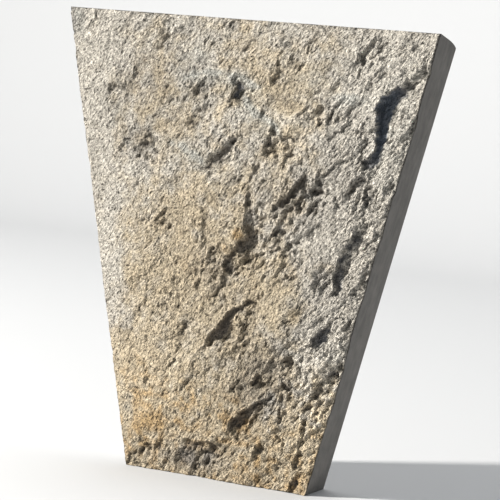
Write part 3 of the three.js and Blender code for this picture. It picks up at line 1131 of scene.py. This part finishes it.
def rock_shade(nodes, grain_place):
    """How light the rock is: grains, mottle and painted shadow specks, painted shade where sunk,
    painted light and tone.
    """
    shade = nodes.times(nodes.pattern(ROCK_GRAINS_AND_PAINTED_LIGHT, grain_place), nodes.pattern(ROCK_MOTTLE))
    shade = nodes.times(shade, nodes.pattern(ROCK_PAINTED_SHADOW_SPECKS, grain_place))
    # Painted shade in hollows and clefts, darkening the colour where the face is sunk
    for mask, darkest in SUNK_PAINTED_SHADES.items():
        shade = nodes.times(shade, nodes.spread(nodes.mask(mask), 0.0, 1.0, 1.0, darkest))
    # Painted light and shade over broad parts of the face, partly the stone's own tone
    return nodes.times(shade, nodes.mask("painted_light_and_tone"))


def rock_material():
    """The split face: buff, greyer above, warmer below, darker patches, painted shade in hollows
    and under ledges.
    """
    nodes = Nodes("rock_face")
    grain_place = nodes.drawn_out(ROCK_DRAW, math.pi / 2 - GRAIN_ANGLE)
    colour = nodes.blend(rock_colour(nodes), rock_shade(nodes, grain_place), 1.0, how="MULTIPLY")
    # Painted shadow under the ledges' cliffs, turning bluish where the cool mask says
    painted_shadow_colour = nodes.blend(linear(*ROCK_PAINTED_SHADOW), linear(*ROCK_PAINTED_SHADOW_COOL), nodes.mask("painted_cool_shadow"))
    colour = nodes.blend(colour, painted_shadow_colour, nodes.times(nodes.mask("under"), PAINTED_SHADOW_COVER))
    coarse = nodes.bump(nodes.noise(*ROCK_BUMP_NOISE, grain_place), *ROCK_BUMP)
    fine = nodes.bump(nodes.grains(GRAIN_BUMP_SIZE, grain_place), *GRAIN_BUMP, under=coarse)
    return nodes.surface(colour, nodes.pattern(ROCK_ROUGHNESS), SPECULAR, fine)


def cast_material():
    """The smooth cast faces: grey-brown, with faint upright streaks and pinholes."""
    nodes = Nodes("cast_side")
    streaks = nodes.pattern(CAST_STREAKS, nodes.drawn_out(STREAK_DRAW))
    colour = nodes.blend(linear(*CAST_DARK), linear(*CAST_LIGHT), streaks)
    pores = nodes.pattern(CAST_PORES)
    shade = nodes.times(nodes.pattern(CAST_CLOUD), pores)
    colour = nodes.blend(colour, shade, 1.0, how="MULTIPLY")
    skin = nodes.bump(nodes.noise(*CAST_BUMP_NOISE), *CAST_BUMP)
    pits = nodes.bump(pores, *PORE_BUMP, under=skin)
    return nodes.surface(colour, nodes.pattern(CAST_ROUGHNESS), SPECULAR, pits)


def studio_material():
    return Nodes("studio").surface(STUDIO_WHITE, STUDIO_ROUGHNESS, 0.0)


def make_studio():
    """A pale floor that sweeps up into a wall far behind the stone."""
    turn = np.linspace(0, math.pi / 2, SWEEP_STEPS)
    profile = [(FLOOR_NEAR, 0.0)]
    profile += [
        (FLOOR_FAR + SWEEP_RADIUS * math.sin(a), SWEEP_RADIUS * (1 - math.cos(a))) for a in turn
    ]
    profile += [(FLOOR_FAR + SWEEP_RADIUS, WALL_TOP)]
    points = [(side, y, z) for y, z in profile for side in (-FLOOR_HALF, FLOOR_HALF)]
    faces = [(2 * i, 2 * i + 1, 2 * i + 3, 2 * i + 2) for i in range(len(profile) - 1)]
    mesh = bpy.data.meshes.new("studio_floor")
    mesh.from_pydata(points, [], faces)
    mesh.shade_smooth()
    mesh.materials.append(studio_material())
    floor = new_object("studio_floor", mesh)


def aimed(position, target):
    """The matrix of a lamp at position that shines at target."""
    place, aim = Vector(position), Vector(target)
    turn = (aim - place).to_track_quat("-Z", "Y").to_matrix().to_4x4()
    return Matrix.Translation(place) @ turn


def make_lamp(name, position, target, size, watts, colour):
    lamp = bpy.data.lights.new(name, "AREA")
    lamp.shape = "SQUARE"
    lamp.size = size
    lamp.energy = watts
    lamp.color = colour
    new_object(name, lamp).matrix_world = aimed(position, target)


def make_lights():
    middle = Vector((0, 0, HEIGHT * MM / 2))
    towards_key = Vector(KEY_DIRECTION).normalized()
    make_lamp("key", middle + KEY_DISTANCE * towards_key, middle, KEY_SIZE, KEY_WATTS, KEY_COLOUR)
    make_lamp(
        "backdrop", BACKDROP_LAMP, BACKDROP_AIM, BACKDROP_SIZE, BACKDROP_WATTS, BACKDROP_COLOUR
    )
    world = bpy.data.worlds.new("studio_air")
    world.use_nodes = True
    air = world.node_tree.nodes["Background"]
    air.inputs["Color"].default_value = AIR_COLOUR
    air.inputs["Strength"].default_value = AIR_STRENGTH
    bpy.context.scene.world = world


def make_camera():
    """The photograph's view: from the right and a little above, the camera rolled."""
    yaw, pitch, roll = (math.radians(angle) for angle in (CAMERA_YAW, CAMERA_PITCH, CAMERA_ROLL))
    ahead = Vector((
        -math.sin(yaw) * math.cos(pitch), math.cos(yaw) * math.cos(pitch), -math.sin(pitch)
    ))
    level = Vector((math.cos(yaw), math.sin(yaw), 0))
    upward = level.cross(ahead)
    right = level * math.cos(roll) + upward * math.sin(roll)
    up = upward * math.cos(roll) - level * math.sin(roll)
    position = Vector(CAMERA_AIM) * MM - ahead * CAMERA_DISTANCE * MM
    turn = Matrix((right, up, -ahead)).transposed().to_4x4()
    camera = bpy.data.cameras.new("camera")
    camera.sensor_width = CAMERA_SENSOR
    camera.lens = CAMERA_LENS
    camera_object = new_object("camera", camera)
    camera_object.matrix_world = Matrix.Translation(position) @ turn
    bpy.context.scene.camera = camera_object


make_stone()
make_studio()
make_lights()
make_camera()
bpy.context.scene.view_settings.view_transform = "Standard"
